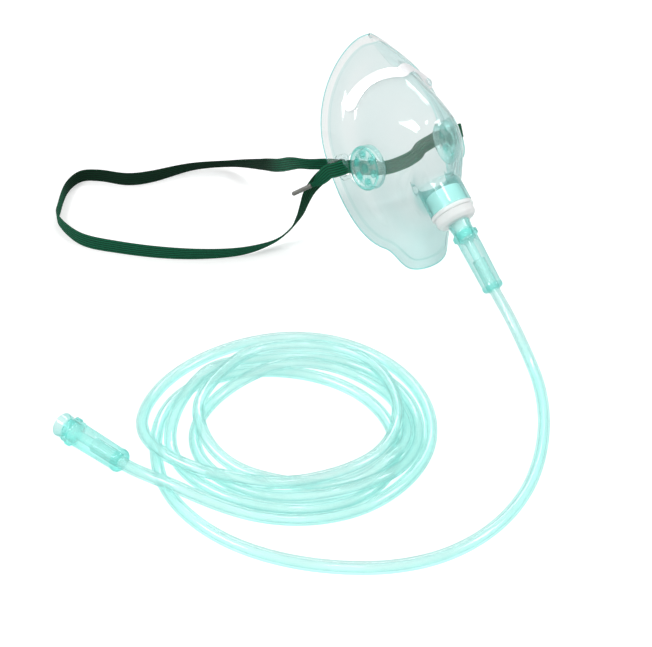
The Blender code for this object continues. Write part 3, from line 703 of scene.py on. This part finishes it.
def makeShell():
    around = shellShape["around"]
    turns = [i / around for i in range(around)]
    steps = lastSection * shellShape["between"]
    rings = [[skin(turn, i / shellShape["between"]) for turn in turns] for i in range(steps + 1)]
    shell = loft("maskShell", rings)
    low, high = (round(depth * shellShape["between"]) * around for depth in shellShape["eased"])
    bpy.ops.object.mode_set(mode="EDIT")
    bpy.ops.mesh.select_all(action="DESELECT")
    edit = bmesh.from_edit_mesh(shell.data)
    edit.verts.ensure_lookup_table()
    for v in edit.verts[low:high]:
        v.select_set(True)
    bmesh.update_edit_mesh(shell.data)
    bpy.ops.mesh.vertices_smooth(factor=0.5, repeat=shellShape["easing"])
    bpy.ops.object.mode_set(mode="OBJECT")
    applyModifier(shell, "SOLIDIFY", thickness=shellShape["wall"], offset=-1.0, use_rim=True,
                  use_even_offset=True)
    applyModifier(shell, "BEVEL", width=shellShape["edgeRound"], segments=3, limit_method="ANGLE",
                  angle_limit=radians(60))
    joined = []
    cutters = []
    wider, low, high = vent["window"]
    window = vent["radius"] - vent["wall"] + wider
    under, brim, crown = clip["headHeights"]
    studOutline = softened([
        (clip["stud"], -clip["studSunk"]), (clip["stud"], under), (clip["head"], under),
        (clip["head"], brim), (clip["headFlat"], crown),
    ], 0.25)[3:-2]
    for side in (1, -1):
        earFrame = skinFrame(turnOn(ear["turn"], side), ear["depth"])
        earFrame = earFrame @ Matrix.Translation((0, 0, -shellShape["wall"] / 2))
        padSize = (ear["slot"][0] + 2 * ear["wall"], ear["slot"][1] + 2 * ear["wall"], ear["thick"])
        joined.append(laid(slab("earPad", padSize, ear["round"]), earFrame))
        cutters.append(laid(slab("earSlot", (*ear["slot"], 4 * ear["thick"]), ear["slotRound"]), earFrame))
        cutters.append(laid(rod("window", window, low, high), ventFrame(side)))
        stud = turned("clipStud", studOutline, 32, "capped")
        joined.append(laid(stud, skinFrame(turnOn(clip["turn"], side), clip["depthEnds"])))
    seat = shellShape["neckLength"] - nub["fromMouth"]
    place = Vector((shellShape["neckRadius"], *shellShape["neckRoot"])) + neckAxis() * seat
    joined.append(laid(slab("neckNub", nub["size"], nub["round"]), along(neckAxis(), place)))
    for tool in joined:
        cutWith(shell, tool, "UNION")
    for tool in cutters:
        cutWith(shell, tool, "DIFFERENCE")
    mapRim(shell)
    settle(shell, maskPlace, clearShell, "mask", "clear_shell", "mask_shell")


def markThick(piece, isThick):
    # 1 where the moulding is thick and looks deeper
    writeMap(piece, "thick", lambda face, point: (float(isThick(face.center)), 0.5))


def thickOnVent(spot):
    # the collars, the hub and the rim
    aside = hypot(spot.x, spot.y)
    turn = (atan2(spot.y, spot.x) / (2 * pi) * vent["holes"] - 0.5) % 1.0
    sideways = min(turn, 1 - turn) * 2 * pi / vent["holes"] * aside
    fromHole = hypot(aside - vent["holeCircle"], sideways)
    onCollar = fromHole < vent["hole"] + vent["collar"] + 0.1
    return onCollar or aside < vent["hub"] + 0.1 or spot.z > vent["proud"] + vent["rim"] / 2


def makeVents():
    inside = vent["radius"] - vent["wall"]
    top = vent["proud"]
    bottom = top - vent["plate"]
    hubTop = top + vent["hubHeight"]
    dimple, sunk = vent["dimple"]
    outline = [
        (dimple, hubTop - sunk), (dimple, hubTop), (vent["hub"], hubTop), (vent["hub"], top),
        (inside - 0.2, top), (inside, top + vent["rim"]), (vent["radius"] - 0.3, top + vent["rim"]),
        (vent["radius"], top + vent["rim"] * 0.5), (vent["radius"], -vent["sunk"]),
        (inside, -vent["sunk"]), (inside, bottom), (dimple, bottom),
    ]
    drum = turned("ventDrum", softened(outline, 0.3)[3:-3], 96, "capped")
    radius, collarTop = vent["hole"] + vent["collar"], top + vent["collarHeight"]
    edge = softened([(radius, bottom + 0.1), (radius, collarTop), (0.3, collarTop)], 0.2)[3:-2]
    sides = vent["holeSides"]
    collars = []
    holes = []
    for i in range(vent["holes"]):
        # the collar and the hole are turned by parts of a step, so that no corners fall on each other
        turn = 2 * pi * (i + 0.5) / vent["holes"]
        spot = Matrix.Rotation(turn, 4, "Z") @ Matrix.Translation((vent["holeCircle"], 0, 0))
        ring = turned("collar", edge, sides, "capped")
        collars.append(laid(ring, spot @ Matrix.Rotation(pi / sides, 4, "Z")))
        hole = rod("hole", vent["hole"], bottom - 1, top + 3, sides)
        holes.append(laid(hole, spot @ Matrix.Rotation(pi / sides / 2, 4, "Z")))
    for tool in collars:
        cutWith(drum, tool, "UNION")
    for tool in holes:
        cutWith(drum, tool, "DIFFERENCE")
    markThick(drum, thickOnVent)
    far = copied(drum, "ventFar")
    drum.name = "ventNear"
    settle(drum, maskPlace @ ventFrame(1), clearVent, "mask", "clear_shell")
    settle(far, maskPlace @ ventFrame(-1), clearVent, "mask", "clear_shell")


makeShell()
makeVents()
print("shell and vents made")


def bandRings(stations, every, outline):
    # rings across a band: outline is (across, through) points; returns rings and the distance of each
    places = [Vector(s[0]) for s in stations]
    extras = [Vector((*Vector(s[1]).normalized(), s[2], s[3])) for s in stations]
    line = curveThrough([(*p, *e) for p, e in zip(places, extras)], every)
    rings = []
    reached = [0.0]
    for i, station in enumerate(line):
        here = Vector(station[0:3])
        before = Vector(line[max(i - 1, 0)][0:3])
        after = Vector(line[min(i + 1, len(line) - 1)][0:3])
        ahead = (after - before).normalized()
        broad = Vector(station[3:6])
        broad = (broad - ahead * broad.dot(ahead)).normalized()
        flat = ahead.cross(broad)
        rings.append([here + broad * (a * station[6]) + flat * (b * station[7]) for a, b in outline])
        if i:
            reached.append(reached[-1] + (here - before).length)
    return rings, reached


def roundedStrip(width, thick, steps=4):
    # the cross-section of a strip with rounded edges
    radius = thick / 2
    out = []
    for hand in (1, -1):
        for k in range(2 * steps + 1):
            a = -pi / 2 + pi * k / (2 * steps)
            out.append((hand * (width / 2 - radius + radius * cos(a)), hand * radius * sin(a)))
        for k in range(1, 4):
            out.append((hand * (width / 2 - radius) * (1 - k / 2), hand * radius))
    return out


def clipStation(turn, width):
    reach = abs(turn / clip["turn"]) ** clip["sweep"]
    depth = clip["depthMiddle"] + (clip["depthEnds"] - clip["depthMiddle"]) * reach
    place = skinFrame(turn % 1.0, depth).to_3x3()
    lift = clip["gap"] + clip["thick"] / 2
    return skin(turn % 1.0, depth) + place.col[2] * lift, place.col[1], width, 1


def makeNoseClip():
    middle = [clipStation(clip["turn"] * i / 12, 1) for i in range(-12, 13)]
    reaches = (0.35, 0.65, 0.87, 0.97)
    end = [(clip["turn"] + clip["endTurn"] * reach, sqrt(1 - reach**2)) for reach in reaches]
    left = [clipStation(-turn, width) for turn, width in reversed(end)]
    right = [clipStation(turn, width) for turn, width in end]
    outline = roundedStrip(clip["width"], clip["thick"])
    rings = bandRings(left + middle + right, clip["every"], outline)[0]
    strip = loft("noseClip", rings, "capped")
    settle(strip, maskPlace, bareAluminium, "mask", "aluminium", "nose_clip")


makeNoseClip()
print("nose clip made")


# Head strap: one ribbed band, folded out through each ear and back over the rim to its metal tip

strap = {
    "width": 7.5, "thick": 0.94, "ribs": 6, "ribHeight": 0.28, "edge": 0.35, "every": 1.6,
    "loop": [
        ((86, 19.5, 48.7), (-0.2, 0.4, 0.9)), ((81.5, 18.5, 46), (-0.3, 0.4, 0.9)),
        ((79, 18, 42), (-0.4, 0.4, 0.8)), ((72, 17, 38), (-0.3, 0.4, 0.9)),
        ((62, 13, 37), (-0.2, 0.4, 0.9)), ((48, 7, 41), (-0.2, 0.2, 0.9)),
        ((32, 5, 44), (-0.1, -0.1, 1.0)), ((22, 5.5, 43.8), (0.0, -0.26, 1.0)),
        ((14, 13, 40), (0.0, -0.4, 0.9)), ((5, 34, 26), (0.2, -0.5, 0.8)), ((-5, 53, 15), (0.3, -0.5, 0.8)),
        ((-24, 69, 6), (0.1, -0.5, 0.8)), ((-47, 69, 4), (0, -0.4, 0.9)),
        ((-70, 58, 4), (0, 0.1, 1)), ((-84, 55, 4.1), (0, 0.2, 1)), ((-100, 59, 4.1), (0, 0.1, 1)),
        ((-111, 58, 4), (0, 0, 1)), ((-117, 46, 4), (0, 0, 1)), ((-118, 26, 4), (0, 0, 1)),
        ((-116, 12, 4), (0, 0, 1)), ((-101, -6, 4), (0, 0.2, 1)), ((-79, -14, 4), (0, 0.1, 1)),
        ((-54, -19, 4), (0, 0, 1)), ((-31, -20, 4), (0, -0.2, 1)), ((-12, -17, 4), (0, -0.4, 0.9)),
        ((3, -10, 5), (0.1, -0.7, 0.7)), ((12, -6, 10.5), (0.1, -0.8, 0.6)),
        ((17, -4.5, 18), (-0.4, -0.8, 0.4)), ((19.5, -4, 25), (-0.6, -0.7, 0.35)),
        ((22.5, -3, 32.5), (-0.76, -0.42, 0.49)), ((28, -2.5, 40), (-0.6, 0.0, 0.7)),
    ],
    # at each ear: towards the rim, up, out of the ear, share of the width, share of the thickness
    "nearFold": [
        (14, -1, -7.5, 1, 1), (5, 0, -5.5, 1, 1), (0, 0, -2.3, 1, 1), (0, 0, 0.9, 1, 1),
        (1.2, 0, 2.6, 1, 1), (4.5, -0.2, 3, 1, 1), (7.8, -0.3, 2.8, 1, 1), (11.7, -2, 3.2, 1, 1),
        (15.2, -3.8, 3.6, 0.8, 1.2), (18.3, -5.2, 4, 0.36, 1.6), (20.3, -5.6, 4.5, 0.32, 1.6),
    ],
    "farFold": [
        (3.5, -0.5, -5, 1, 1), (0, 0, -2.3, 1, 1), (0, 0, 0.9, 1, 1), (0.3, 0.2, 5, 1, 1),
        (2.5, 0.5, 8.5, 1, 1), (6, 0.2, 8, 1, 1), (11, -2, 6, 1, 1), (15.2, -3.8, 4.8, 0.8, 1.2),
        (18.3, -5.2, 4.4, 0.36, 1.6), (20.3, -5.6, 4.4, 0.32, 1.6),
    ],
}
tip = {"radius": 1.2, "length": 13.0, "gap": 0.3, "crimps": 5, "crimpDepth": 0.12}
faceOffset = 2 * strap["width"]  # on the band's map, between its inner and its outer face
elasticLook = {
    "stitches": 0.55, "unevenness": 1.2, "fibres": 2.2, "detail": 6.0,
    "threads": ((0.05, (0.001, 0.045, 0.020)), (0.65, (0.012, 0.260, 0.125))),
    # painted shade in the grooves between the ribs
    "grooveShadeColour": (0.0004, 0.006, 0.003),
    "back": (0.025, 0.052), "backShadeColour": (0.12, 0.22, 0.18),  # metres back, where painted shade darkens the band
    "raised": (0.006, 0.014), "innerFaceShadeColour": (0.20, 0.45, 0.36),  # metres up, above which painted shade darkens the inner face alone
    "roughness": 0.75, "gloss": 0.15, "sheen": 0.06, "sheenRoughness": 0.4,
    "sheenColour": (0.35, 0.75, 0.6), "bump": 0.6, "depth": 0.00025,
}


def elasticMaterial(look):
    # knitted elastic: stitches run across the ribs, and painted shade darkens the grooves between the ribs,
    # the band towards the back and its inner face higher up
    made, tree, shader = startMaterial("green ribbed elastic")
    band = node(tree, "UVMap", uv_map="band").outputs["UV"]
    across = node(tree, "SeparateXYZ", {"Vector": band}).outputs["Y"]
    stitches = node(tree, "TexWave", {
        "Vector": band, "Scale": look["stitches"], "Distortion": look["unevenness"], "Detail": 2.0,
    }, bands_direction="X").outputs["Fac"]
    knit = maths(tree, "MULTIPLY", stitches, noise(tree, band, look["fibres"], look["detail"]))
    threads = node(tree, "ValToRGB", {"Fac": knit})
    for stop, (position, colour) in zip(threads.color_ramp.elements, look["threads"]):
        stop.position = position
        stop.color = (*colour, 1)
    # painted shade: the grooves between the ribs go dark
    swing = maths(tree, "SINE", maths(tree, "MULTIPLY", across, pi * strap["ribs"] / strap["width"]))
    crown = maths(tree, "ABSOLUTE", swing)
    shade = blended(tree, crown, look["grooveShadeColour"], threads.outputs["Color"])
    place = node(tree, "SeparateXYZ", {"Vector": node(tree, "TexCoord").outputs["Object"]}).outputs
    # painted shade: the band darker towards the back
    shade = deepened(tree, rising(tree, place["Y"], *look["back"]), shade, look["backShadeColour"])
    # painted shade: the inner face darker higher up
    onInner = maths(tree, "LESS_THAN", across, faceOffset * 0.9)
    raised = maths(tree, "MULTIPLY", rising(tree, place["Z"], *look["raised"]), onInner)
    fill(tree, shader, {
        "Base Color": deepened(tree, raised, shade, look["innerFaceShadeColour"]), "Roughness": look["roughness"],
        "Specular IOR Level": look["gloss"], "Sheen Weight": look["sheen"],
        "Sheen Roughness": look["sheenRoughness"], "Sheen Tint": look["sheenColour"],
    })
    addBump(tree, shader, knit, look["bump"], look["depth"])
    return made


greenElastic = elasticMaterial(elasticLook)


def foldStations(side, fold):
    place = maskPlace @ skinFrame(turnOn(ear["turn"], side), ear["depth"])
    x, y, z = (Vector(place.col[i][0:3]) for i in range(3))
    start = place.translation
    return [
        (start - x * side * back + y * up + z * out, y, wide, thick) for back, up, out, wide, thick in fold
    ]


def ribbedOutline():
    # across the band from edge to edge on one face, and back on the other
    steps = strap["ribs"] * 6
    half = strap["width"] / 2
    face = []
    for k in range(steps + 1):
        share = k / steps
        rib = abs(sin(pi * strap["ribs"] * share)) ** 0.7
        edge = 1 - abs(2 * share - 1) ** 12
        through = strap["thick"] / 2 - strap["ribHeight"] + strap["ribHeight"] * rib
        face.append((half * (2 * share - 1), through * (strap["edge"] + (1 - strap["edge"]) * edge)))
    return face + [(a, -b) for a, b in reversed(face)]


def mapBand(band, count, reached):
    # a flat map of the band in millimetres: U along it and V across it
    half = count // 2

    def onBand(face, point):
        ring, k = divmod(point, count)
        across = k if k < half else count - 1 - k
        return reached[ring], across * strap["width"] / (half - 1) + (0 if k < half else faceOffset)

    writeMap(band, "band", onBand)


def makeTip(name, place, direction, cadNode):
    outline = [
        (tip["radius"] * 0.5, tip["gap"]), (tip["radius"] * 0.85, tip["gap"] + 0.2),
        (tip["radius"], tip["gap"] + 0.6),
    ]
    span = tip["length"] - tip["gap"] - 2.0
    for i in range(tip["crimps"] * 4 + 1):
        share = i / (tip["crimps"] * 4)
        pinch = tip["crimpDepth"] * (1 - cos(2 * pi * share * tip["crimps"])) / 2
        outline.append((tip["radius"] - pinch, tip["gap"] + 1.0 + span * share))
    outline += [(tip["radius"] * 0.9, tip["length"] - 0.4), (tip["radius"] * 0.6, tip["length"])]
    piece = turned(name, outline, 24, "capped")
    settle(piece, along(direction, place), crimpedTin, "mask", "steel", cadNode)


def makeStrap():
    far = foldStations(-1, strap["farFold"])
    near = foldStations(1, strap["nearFold"])
    stations = far[::-1] + [(place, broad, 1, 1) for place, broad in strap["loop"]] + near
    outline = ribbedOutline()
    rings, reached = bandRings(stations, strap["every"], outline)
    band = loft("headStrap", rings, "capped")
    mapBand(band, len(outline), reached)
    settle(band, Matrix.Identity(4), greenElastic, "mask", "elastic", "head_strap", angle=60)
    makeTip("strapTipFar", far[-1][0], far[-1][0] - far[-2][0], "strap_tip_left")
    makeTip("strapTipNear", near[-1][0], near[-1][0] - near[-2][0], "strap_tip_right")


makeStrap()
print("strap and tips made")


# Swivel inlet: a white adapter in the neck, and the tube connector that is the same at both ends

adapter = {
    "fit": 0.3, "plug": 10.0, "flange": 2.2, "radius": 10.4, "length": 5.4, "edge": 1.6,
    "nipple": 3.5, "nippleLength": 9.0, "barb": 0.6, "bore": 1.9, "plugWall": 1.5, "softness": 0.7,
}
connector = {
    "length": 38.5, "mouth": 5.7, "mouthBore": 4.9, "mouthDepth": 4.0, "waist": 5.3, "lug": 6.6,
    "lugFrom": 6.3, "lugLength": 2.4, "lugs": 8, "body": 5.6, "bodyEnd": 4.9, "socketDepth": 17.0,
    "tubeFit": 0.3, "bore": 2.0, "around": 96, "flute": 0.16, "rings": 4, "ringEvery": 0.9,
    "ringDepth": 0.16,
}
supplyEnd = {"place": (-57.0, -181.0, 6.7), "direction": (-31.0, 25.0, 0.0)}


def makeAdapter(place):
    plug = shellShape["neckRadius"] - shellShape["wall"] - adapter["fit"] - 0.1
    low = adapter["fit"]
    step = low + adapter["flange"]
    face = step + adapter["length"]
    top = face + adapter["nippleLength"]
    neck = shellShape["neckRadius"]
    hollow = plug - adapter["plugWall"]
    nipple, barb = adapter["nipple"], adapter["barb"]
    outline = [
        (adapter["bore"], top), (adapter["bore"], face - 1.5), (hollow, face - 3.0),
        (hollow, low - adapter["plug"]), (plug - 0.5, low - adapter["plug"]),
        (plug, low - adapter["plug"] + 1.0), (plug, low), (neck, low), (neck, step),
        (adapter["radius"], step), (adapter["radius"], face - adapter["edge"]),
        (adapter["radius"] - adapter["edge"], face), (nipple, face), (nipple, top - 3.5),
        (nipple + barb, top - 3.2), (nipple - barb, top),
    ]
    piece = turned("inletAdapter", softened(outline, adapter["softness"]), 96)
    settle(piece, place, whitePlastic, "inlet", "white_plastic", "inlet_adapter")


def connectorRadius(radius, height, angle):
    # lugs stand on the ring near the mouth, and shallow flutes run down the body
    lugEnd = connector["lugFrom"] + connector["lugLength"]
    wave = cos(connector["lugs"] * angle)
    if connector["lugFrom"] - 0.01 < height < lugEnd + 0.01:
        raised = min(max(wave * 3 + 0.6, 0), 1)
        return radius + (connector["lug"] - radius) * raised
    if lugEnd + 2 < height < connector["length"] - 3:
        return radius - connector["flute"] * (0.5 - 0.5 * wave)
    return radius


def thickOnConnector(spot):
    # the ring of lugs and the collar round the tube
    afterLugs = spot.z - connector["lugFrom"]
    return -0.8 < afterLugs < connector["lugLength"] + 0.6 or spot.z > connector["length"] - 2.9


def makeConnector():
    tail = connector["length"]
    floor = tail - connector["socketDepth"]
    socket = supply["radius"] + connector["tubeFit"]
    lugEnd = connector["lugFrom"] + connector["lugLength"]
    body, waist = connector["body"], connector["waist"]
    lip, lugFrom, end = connector["mouth"], connector["lugFrom"], connector["bodyEnd"]
    outer = [
        (lip, 0.25), (lip, 0.8), (lip - 0.12, 1.4), (waist + 0.1, 3.4), (waist, 4.2), (waist, lugFrom - 1.0),
        (body, lugFrom - 0.3), (body + 0.2, lugFrom), (body + 0.3, lugFrom + 0.4),
        (body + 0.3, lugEnd - 0.4), (body + 0.2, lugEnd), (body + 0.05, lugEnd + 0.5),
    ]
    for i in range(connector["rings"]):
        seat, low = lugEnd + 1.0 + i * connector["ringEvery"], body - connector["ringDepth"]
        outer += [(body, seat), (low, seat + 0.2), (low, seat + 0.45), (body, seat + 0.65)]
    run = [lugEnd + 5.0 + (tail - 3.4 - lugEnd - 5.0) * i / 8 for i in range(9)]
    slope = (body - end - 0.3) / (run[-1] - run[0])
    outer += [(body - slope * (height - run[0]), height) for height in run]
    outer += [
        (end + 0.45, tail - 2.7), (end + 0.5, tail - 2.0), (end + 0.3, tail - 1.0),
        (end - 0.2, tail - 0.4), (end - 0.9, tail - 0.05), (socket + 0.3, tail),
    ]
    nipple, nippleEnd, bore = adapter["nipple"] + 0.9, adapter["nippleLength"], connector["bore"]
    inner = [
        (socket, tail - 0.3), (socket, floor), (bore, floor), (bore, nippleEnd + 2.5),
        (nipple, nippleEnd + 1.0), (nipple, connector["mouthDepth"]), (connector["mouthBore"], 0.3),
        (connector["mouthBore"] + 0.2, 0.0), (lip - 0.25, 0.0),
    ]
    turns = [2 * pi * i / connector["around"] for i in range(connector["around"])]
    rings = []
    for radius, height in outer:
        reaches = [(connectorRadius(radius, height, a), a) for a in turns]
        rings.append([Vector((reach * cos(a), reach * sin(a), height)) for reach, a in reaches])
    rings += [circleAt(radius, height, connector["around"]) for radius, height in inner]
    piece = loft("maskConnector", rings, "joined")
    markThick(piece, thickOnConnector)
    return piece


neckEnd = Vector((0, *shellShape["neckRoot"])) + neckAxis() * shellShape["neckLength"]
inletPlace = maskPlace @ along(neckAxis(), neckEnd)
makeAdapter(inletPlace)
gap = adapter["flange"] + adapter["length"] + 2 * adapter["fit"]
connectorPiece = makeConnector()
supplyConnector = copied(connectorPiece, "supplyConnector")
settle(connectorPiece, inletPlace @ Matrix.Translation((0, 0, gap)), clearFitting, "inlet", "clear_tube",
       "mask_connector")
back = -Vector(supplyEnd["direction"]).normalized()
supplyMouth = Vector(supplyEnd["place"]) - back * connector["length"]
settle(supplyConnector, along(back, supplyMouth), clearFitting, "mask", "clear_tube", "supply_connector")
print("inlet and connectors made")


# Floor, light and background

room = {
    "floorSize": 8.0,
    "floorColour": (0.80, 0.80, 0.80),
    "floorGlow": 0.32,  # added only where the floor is seen, so that it is white and keeps its shadow
    "glowThrough": 0.02,  # the same where it is seen through glass or in gloss
    "ambient": 0.50,
    "aim": (0.03, -0.08, 0.03),
    "lamps": [  # place, size, watts
        ((-0.50, -0.30, 0.62), (0.34, 0.22), 2.6),
        ((0.62, -0.25, 0.55), (0.22, 0.30), 1.6),
        ((0.05, 0.60, 0.80), (0.55, 0.14), 2.2),
        ((0.00, -0.45, 0.95), (0.16, 0.16), 0.9),
    ],
}


def seenThrough(tree, rays):
    # 1 for rays that glass and gloss send on
    return maths(tree, "MAXIMUM", rays["Is Glossy Ray"], rays["Is Transmission Ray"])


def makeFloor():
    bpy.ops.mesh.primitive_plane_add(size=room["floorSize"])
    floor = bpy.context.object
    floor.name = "floor"
    made, tree, shader = startMaterial("studio floor")
    rays = node(tree, "LightPath").outputs
    through = maths(tree, "MULTIPLY", seenThrough(tree, rays), room["glowThrough"])
    fill(tree, shader, {
        "Base Color": room["floorColour"], "Roughness": 0.95, "Specular IOR Level": 0.0,
        "Emission Color": (1, 1, 1),
        "Emission Strength": maths(tree, "MULTIPLY_ADD", rays["Is Camera Ray"], room["floorGlow"], through),
    })
    floor.data.materials.append(made)


def makeWorld():
    # plain light on the object, and white wherever the world itself is seen
    world = bpy.data.worlds.new("studio")
    bpy.context.scene.world = world
    world.use_nodes = True
    tree = world.node_tree
    rays = node(tree, "LightPath").outputs
    seen = maths(tree, "MAXIMUM", rays["Is Camera Ray"], seenThrough(tree, rays))
    level = node(tree, "MapRange", {"Value": seen, "To Min": room["ambient"], "To Max": 1.0})
    fill(tree, tree.nodes["Background"], {"Color": (1, 1, 1), "Strength": level.outputs["Result"]})


def makeLamps():
    for place, size, watts in room["lamps"]:
        aim = (Vector(room["aim"]) - Vector(place)).to_track_quat("-Z", "Y").to_euler()
        bpy.ops.object.light_add(type="AREA", location=place, rotation=aim)
        lamp = bpy.context.object.data
        lamp.shape = "RECTANGLE"
        lamp.size, lamp.size_y = size
        lamp.energy = watts


makeFloor()
makeWorld()
makeLamps()
bpy.context.scene.view_settings.view_transform = "Standard"
print("floor and light set")
